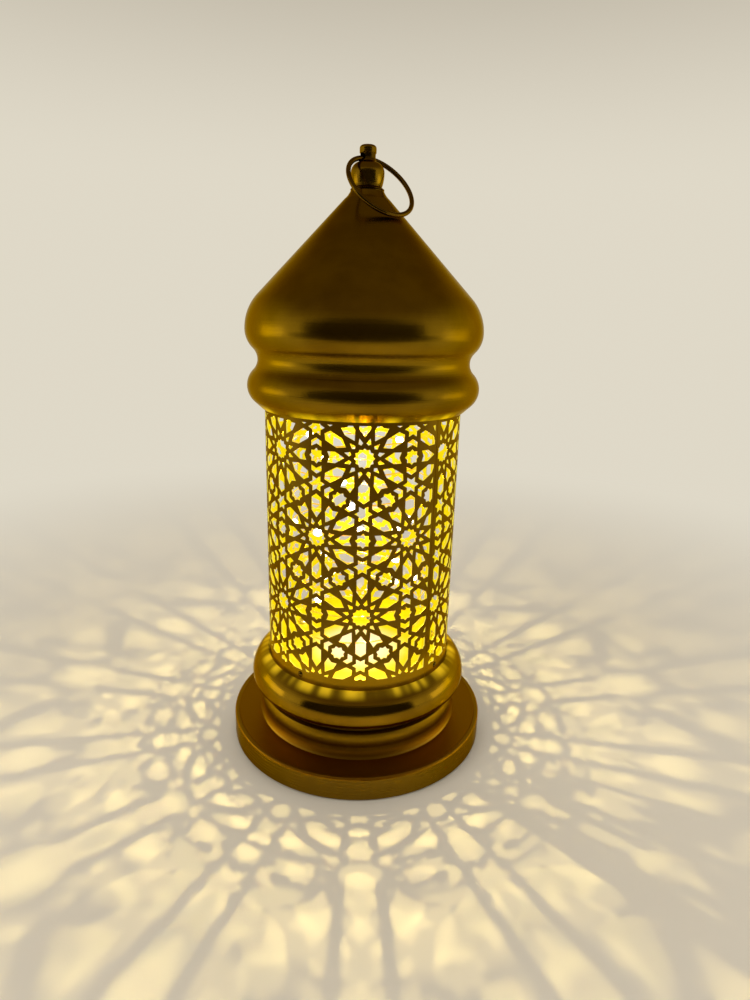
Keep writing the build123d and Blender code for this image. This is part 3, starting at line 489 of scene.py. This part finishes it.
lampPlan = {
    "resin": (1.0, 0.90, 0.62), "core": (1.0, 0.98, 0.92),
    "rough": 0.12, "cloudScale": 900.0, "strength": 9.0,
}
cellPlan = {
    "sleeve": (0.0240, 0.0242), "deep": (0.014, 0.015, 0.017), "bright": (0.035, 0.036, 0.040),
    "metal": (0.55, 0.54, 0.50), "rough": 0.32, "grainScale": 900.0,
}
finishes = {}
planned = ((spunGold, goldPlans), (wireGold, wirePlans), (plainMetal, metalPlans), (moulded, mouldedPlans))
for make, plans in planned:
    for name, plan in plans.items():
        finishes[name] = make(name, plan)
finishes["sheetGold"] = sheetGold("sheetGold", sheetPlan)
finishes["innerGold"] = innerGold("innerGold", innerPlan)
finishes["copper"] = litWire("copper", copperPlan)
finishes["lampResin"] = lampResin("lampResin", lampPlan)
finishes["cellWrap"] = cellWrap("cellWrap", cellPlan)
nodeFinish = {
    "pedestal": "baseGold", "dome": "domeGold", "finial": "finialGold", "cover_bosses": "domeGold",
    "pierced_cylinder": "sheetGold", "cylinder_seat": "innerGold", "dome_ring": "innerGold",
    "seat_rivets": "rivetGold", "hanging_ring": "ringGold",
    "seat_screws": "zincSteel", "seat_nuts": "zincSteel", "cover_screws": "zincSteel",
    "finial_washer": "zincSteel", "finial_nut": "zincSteel",
    "bottom_cover": "blackPlastic", "battery_door": "blackPlastic", "switch_body": "blackPlastic",
    "switch_slider": "ivoryPlastic", "foot_pads": "padRubber", "deck_grommet": "padRubber",
    "batteries": "cellWrap", "contact_plates": "nickel", "contact_springs": "nickel",
    "string_wire": "copper", "led_beads": "lampResin",
}
for node, finish in nodeFinish.items():
    nodes[node].data.materials.clear()
    nodes[node].data.materials.append(finishes[finish])
print("finishes laid on:", len(nodeFinish))


def addPiece(name, mesh, body, finish):
    piece = addObject(name, mesh)
    mesh.materials.clear()
    mesh.materials.append(finishes[finish])
    for face in mesh.polygons:
        face.use_smooth = True
    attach(piece, body)
    return piece


# wires wound on smooth splines
def windWire(name, runs, thickness):
    curve = bpy.data.curves.new(name, "CURVE")
    curve.dimensions = "3D"
    curve.bevel_depth = thickness
    curve.bevel_resolution = 3
    curve.resolution_u = 4
    curve.use_fill_caps = True
    for points in runs:
        spline = curve.splines.new("NURBS")
        spline.points.add(len(points) - 1)
        for point, place in zip(spline.points, points):
            point.co = (*place, 1)
        spline.order_u = 3
        spline.use_endpoint_u = True
    holder = addObject(name + "Path", curve)
    mesh = bpy.data.meshes.new_from_object(holder.evaluated_get(bpy.context.evaluated_depsgraph_get()))
    bpy.data.objects.remove(holder)
    mesh.name = name
    return mesh


def wideRadius(plan):
    # the spline cuts inside its points, so they stand a little further out
    return plan["radius"] * 4 / (3 + math.cos(2 * math.pi / plan["perTurn"]))


# the string's wire: up from the switch, through the pan, and round in the coil
riserLevels = (
    stringPlan["riserFoot"],
    stringPlan["riserFoot"] + stringPlan["riserBend"],
    stringPlan["bottom"] - stringPlan["riserBend"],
    stringPlan["bottom"] - stringPlan["riserTop"],
)
stringRun = [Vector((stringPlan["riserX"], stringPlan["radius"], level)) for level in riserLevels]
for index in range(stringPlan["turns"] * stringPlan["perTurn"] + 1):
    stringRun.append(coilSpot(index / stringPlan["perTurn"], stringPlan, wideRadius(stringPlan)))
stringMesh = windWire("stringWire", [stringRun], stringPlan["wire"])
stringWire = addPiece("stringWire", stringMesh, "base", "copper")
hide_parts("string_wire")
print("string wound:", len(stringWire.data.polygons), "faces")

# springs at the flat ends of the cells, every other one at the other end of the tub
springPlan = {
    "radius": 0.0028, "wire": 0.0003, "pitch": 0.0012, "turns": 4, "perTurn": 16,
    "seat": 0.0277, "height": 0.0116, "cells": ((-0.0147, 1), (0, -1), (0.0147, 1)),
}
springRuns = []
springReach = wideRadius(springPlan)
for row, facing in springPlan["cells"]:
    run = []
    for index in range(springPlan["turns"] * springPlan["perTurn"] + 1):
        turn = index / springPlan["perTurn"]
        angle = 2 * math.pi * turn
        run.append(Vector((
            facing * (springPlan["pitch"] * turn - springPlan["seat"]),
            row - springReach * math.sin(angle),
            springPlan["height"] + facing * springReach * math.cos(angle),
        )))
    springRuns.append(run)
springMesh = windWire("cellSprings", springRuns, springPlan["wire"])
cellSprings = addPiece("cellSprings", springMesh, "base", "nickel")
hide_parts("contact_springs")
print("springs wound:", len(springRuns))

# pale floor that fades into the pale background
stagePlan = {
    "radius": 6.0, "segments": 96, "near": 0.12, "far": 0.60,
    "pale": (0.77, 0.725, 0.63), "shade": 0.97, "rough": 0.62, "grainScale": 40.0,
    "background": (0.74, 0.690, 0.575), "zenith": (0.200, 0.150, 0.090), "dusk": (0.16, 0.72), "fill": 0.80,
}


def addForm(name, form):
    mesh = bpy.data.meshes.new(name)
    form.to_mesh(mesh)
    form.free()
    return addObject(name, mesh)


def makeFloor(plan):
    form = bmesh.new()
    bmesh.ops.create_circle(form, cap_ends=True, segments=plan["segments"], radius=plan["radius"])
    floor = addForm("floor", form)
    material, shader, place = startFinish("paleFloor")
    grain = noise(place, plan["grainScale"], 3.0)
    feed(shader, {
        "Base Color": grain.tint([plan["shade"] * part for part in plan["pale"]], plan["pale"]),
        "Roughness": plan["rough"] + (grain - 0.5) * 0.1,
    })
    tree = material.node_tree
    backdrop = place.node("ShaderNodeEmission", {}, {"Color": (*plan["background"], 1), "Strength": 1.0})
    lit = Link(tree, shader.outputs[0])
    fade = roundCoords(place)["radius"].spread(plan["near"], plan["far"])
    mixed = place.node("ShaderNodeMixShader", {}, {0: fade, 1: lit, 2: backdrop})
    tree.links.new(mixed.socket, tree.nodes["Material Output"].inputs[0])
    floor.data.materials.append(material)


def makeWorld(plan):
    world = bpy.data.worlds.new("studio")
    scene.world = world
    world.use_nodes = True
    tree = world.node_tree
    start = Link(tree)
    path = start.node("ShaderNodeLightPath").socket.node
    seen = Link(tree, path.outputs["Is Camera Ray"])
    for name in ("Is Glossy Ray", "Is Transmission Ray"):
        seen = seen.math("MAXIMUM", seen, Link(tree, path.outputs[name]))
    strength = seen * (1 - plan["fill"]) + plan["fill"]
    heading = start.node("ShaderNodeTexCoord", output="Generated")
    parts = start.node("ShaderNodeSeparateXYZ", {}, {0: heading}, 2)
    sky = parts.spread(*plan["dusk"]).tint(plan["background"], plan["zenith"])  # the room is dim overhead
    shown = tree.nodes["Background"]
    tree.links.new(sky.socket, shown.inputs["Color"])
    tree.links.new(strength.socket, shown.inputs["Strength"])


# dim card behind the camera and on the floor before it, which the polished metal mirrors
cardPlan = {
    "width": 3.0, "near": 0.34, "far": 1.0, "top": 0.76, "lift": 0.001,
    "dim": (0.030, 0.024, 0.016), "woven": (0.039, 0.031, 0.021), "rough": 0.9, "weaveScale": 30.0,
}


def makeCard(plan):
    form = bmesh.new()
    half = plan["width"] / 2
    rows = [(plan["near"], plan["lift"]), (plan["far"], plan["lift"]), (plan["far"], plan["top"])]
    corners = [[form.verts.new((side, -away, up)) for side in (-half, half)] for away, up in rows]
    for (left, right), (nextLeft, nextRight) in zip(corners, corners[1:]):
        form.faces.new((left, nextLeft, nextRight, right))
    card = addForm("dimCard", form)
    material, shader, place = startFinish("dimCard")
    weave = noise(place, plan["weaveScale"], 3.0)
    feed(shader, {"Base Color": weave.tint(plan["dim"], plan["woven"]), "Roughness": plan["rough"]})
    card.data.materials.append(material)
    card.visible_camera = False
    card.visible_diffuse = False
    card.visible_shadow = False


def softBox(name, plan):
    data = bpy.data.lights.new(name, "AREA")
    data.shape = "RECTANGLE"
    data.size, data.size_y = plan["size"]
    data.energy = plan["power"]
    data.color = plan["colour"]
    box = addObject(name, data)
    box.location = plan["place"]
    box.rotation_euler = (Vector(plan["aim"]) - Vector(plan["place"])).to_track_quat("-Z", "Y").to_euler()
    box.visible_camera = False
    box.visible_glossy = plan["mirrored"]
    box.visible_diffuse = not plan["mirrored"]


# three boxes light the room, and two low ones show only in the metal
softBoxes = {
    "keyBox": {
        "place": (-0.75, -0.55, 0.75), "aim": (0, 0, 0.13), "size": (0.75, 0.95), "power": 4.2,
        "colour": (1.0, 0.97, 0.92), "mirrored": False,
    },
    "fillBox": {
        "place": (0.85, -0.35, 0.45), "aim": (0, 0, 0.13), "size": (0.60, 0.90), "power": 2.4,
        "colour": (1.0, 0.97, 0.92), "mirrored": False,
    },
    "topBox": {
        "place": (0, 0.25, 1.1), "aim": (0, 0, 0.13), "size": (0.9, 0.9), "power": 5.0,
        "colour": (1.0, 0.98, 0.95), "mirrored": False,
    },
    "leftGleam": {
        "place": (-0.90, 0.05, 0.12), "aim": (0, 0, 0.15), "size": (0.50, 0.30), "power": 0.66,
        "colour": (1.0, 0.93, 0.70), "mirrored": True,
    },
    "rightGleam": {
        "place": (0.90, 0.05, 0.12), "aim": (0, 0, 0.15), "size": (0.50, 0.30), "power": 0.50,
        "colour": (1.0, 0.93, 0.70), "mirrored": True,
    },
}
makeFloor(stagePlan)
makeWorld(stagePlan)
makeCard(cardPlan)
for name, plan in softBoxes.items():
    softBox(name, plan)

# the lamps' light, which throws the pattern on the floor
innerLights = {"heights": (0.075, 0.105, 0.135), "power": 0.42, "size": 0.0006, "colour": (1.0, 0.80, 0.30)}
for level in innerLights["heights"]:
    data = bpy.data.lights.new("lampLight", "POINT")
    data.energy = innerLights["power"]
    data.shadow_soft_size = innerLights["size"]
    data.color = innerLights["colour"]
    addObject("lampLight", data).location = (0, 0, level)
print("stage lit")
